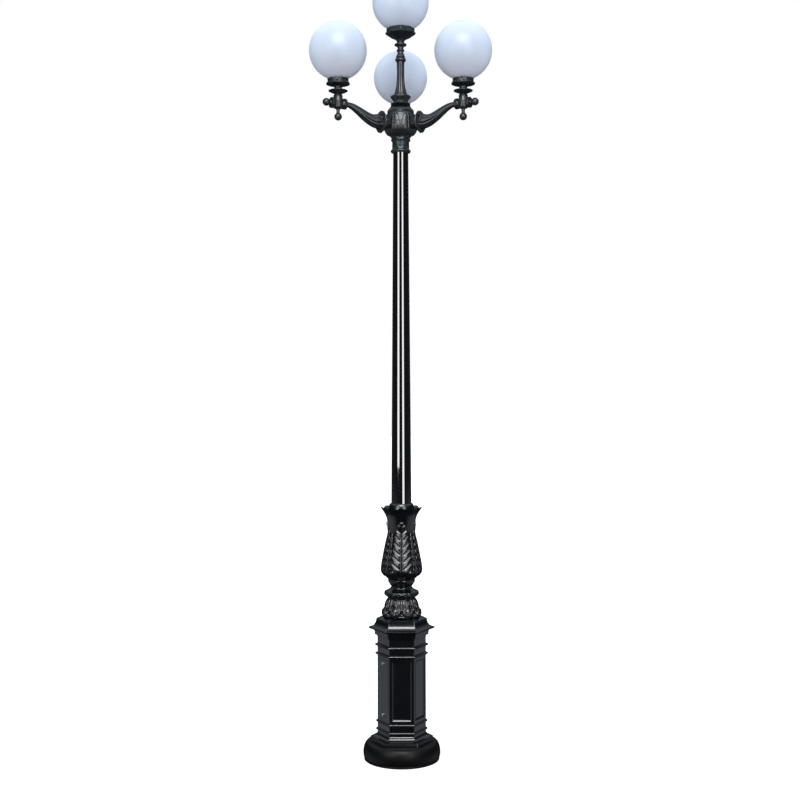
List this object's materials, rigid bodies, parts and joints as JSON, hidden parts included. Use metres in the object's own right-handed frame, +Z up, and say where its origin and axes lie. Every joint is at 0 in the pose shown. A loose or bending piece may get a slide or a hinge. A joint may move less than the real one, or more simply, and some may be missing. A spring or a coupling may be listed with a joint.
{
  "type": "street lamp post",
  "caption": "Cast street lamp post: hexagonal pedestal with an access door, fern urn, tapered pole, and a head of curved arms and a centre stem with opal globes.",
  "frame": {"origin": "centre of the base disc's underside, which is the centre of the anchor circle", "axes": "+Z up the pole, -Y to the front, +X to the right"},
  "size_m": [0.9496, 0.8625, 4.1952],
  "materials": {
    "base_iron": "satin black paint over a fine cast surface",
    "pole_black": "high gloss black enamel",
    "head_aluminium": "satin green-grey black paint",
    "steel_inner": "galvanised",
    "fixings": "zinc plated",
    "brass": "darkened",
    "rubber": "matt",
    "opal": "glossy opal",
    "lamp_white": "frosted white",
    "porcelain": "glazed",
    "cable_black": "satin",
    "terminal_grey": "moulded"
  },
  "bodies": {
    "post": {"base_disc": "base_iron", "pedestal": "base_iron", "pedestal_cap": "base_iron", "leaf_collar": "base_iron", "urn": "base_iron", "weather_collar": "base_iron", "pole": "pole_black", "hub": "head_aluminium", "coronet": "head_aluminium", "stem": "head_aluminium", "arm_rosettes": "head_aluminium", "arm_left": "head_aluminium", "arm_right": "head_aluminium", "arm_back": "head_aluminium", "arm_end_bosses": "head_aluminium", "outer_knobs": "head_aluminium", "pendant_knobs": "head_aluminium", "drip_saucers": "head_aluminium", "gallery_left": "head_aluminium", "gallery_right": "head_aluminium", "gallery_back": "head_aluminium", "top_gallery": "head_aluminium", "core_tube": "steel_inner", "core_flange": "steel_inner", "gear_board": "steel_inner", "board_clamps": "steel_inner", "pole_foot_ring": "steel_inner", "pole_guide_ring": "steel_inner", "stem_conduit": "steel_inner", "gallery_nipples": "steel_inner", "base_bolts": "fixings", "cap_bolts": "fixings", "core_bolts": "fixings", "pole_through_bolt": "fixings", "hub_set_screws": "fixings", "head_lock_nuts": "fixings", "earth_stud": "brass", "gallery_screws": "brass", "tube_grommet": "rubber", "cable_glands": "rubber", "globe_seals": "rubber", "lampholders": "porcelain", "riser_cable": "cable_black", "arm_cables": "cable_black", "stem_cable": "cable_black", "terminal_box": "terminal_grey", "hub_connector": "terminal_grey"},
    "door": {"access_door": "base_iron", "door_gasket": "rubber"},
    "door_screw_upper": {"door_screw_upper": "fixings"},
    "door_screw_lower": {"door_screw_lower": "fixings"},
    "fuse_carrier": {"fuse_carrier": "porcelain"},
    "globe_left": {"globe_left": "opal"},
    "globe_right": {"globe_right": "opal"},
    "globe_back": {"globe_back": "opal"},
    "globe_top": {"globe_top": "opal"},
    "lamp_left": {"lamp_left": "lamp_white"},
    "lamp_right": {"lamp_right": "lamp_white"},
    "lamp_back": {"lamp_back": "lamp_white"},
    "lamp_top": {"lamp_top": "lamp_white"}
  },
  "joints": [
    {"name": "door_lift_off", "type": "slide", "parent": "post", "child": "door", "axis": [-0.866, -0.5, 0], "range_m": [0, 0.15]},
    {"name": "upper_screw_turn", "type": "hinge", "parent": "door", "child": "door_screw_upper", "pos_m": [-0.09959, -0.0575, 0.522], "axis": [-0.866, -0.5, 0], "continuous": true},
    {"name": "lower_screw_turn", "type": "hinge", "parent": "door", "child": "door_screw_lower", "pos_m": [-0.09959, -0.0575, 0.249], "axis": [-0.866, -0.5, 0], "continuous": true},
    {"name": "fuse_pull", "type": "slide", "parent": "post", "child": "fuse_carrier", "axis": [-0.866, -0.5, 0], "range_m": [0, 0.014]},
    {"name": "globe_left_lift", "type": "slide", "parent": "post", "child": "globe_left", "axis": [0, 0, 1], "range_m": [0, 0.25]},
    {"name": "lamp_left_unscrew", "type": "slide", "parent": "post", "child": "lamp_left", "axis": [0, 0, 1], "range_m": [0, 0.03]},
    {"name": "globe_right_lift", "type": "slide", "parent": "post", "child": "globe_right", "axis": [0, 0, 1], "range_m": [0, 0.25]},
    {"name": "lamp_right_unscrew", "type": "slide", "parent": "post", "child": "lamp_right", "axis": [0, 0, 1], "range_m": [0, 0.03]},
    {"name": "globe_back_lift", "type": "slide", "parent": "post", "child": "globe_back", "axis": [0, 0, 1], "range_m": [0, 0.25]},
    {"name": "lamp_back_unscrew", "type": "slide", "parent": "post", "child": "lamp_back", "axis": [0, 0, 1], "range_m": [0, 0.03]},
    {"name": "globe_top_lift", "type": "slide", "parent": "post", "child": "globe_top", "axis": [0, 0, 1], "range_m": [0, 0.25]},
    {"name": "lamp_top_unscrew", "type": "slide", "parent": "post", "child": "lamp_top", "axis": [0, 0, 1], "range_m": [0, 0.03]}
  ]
}
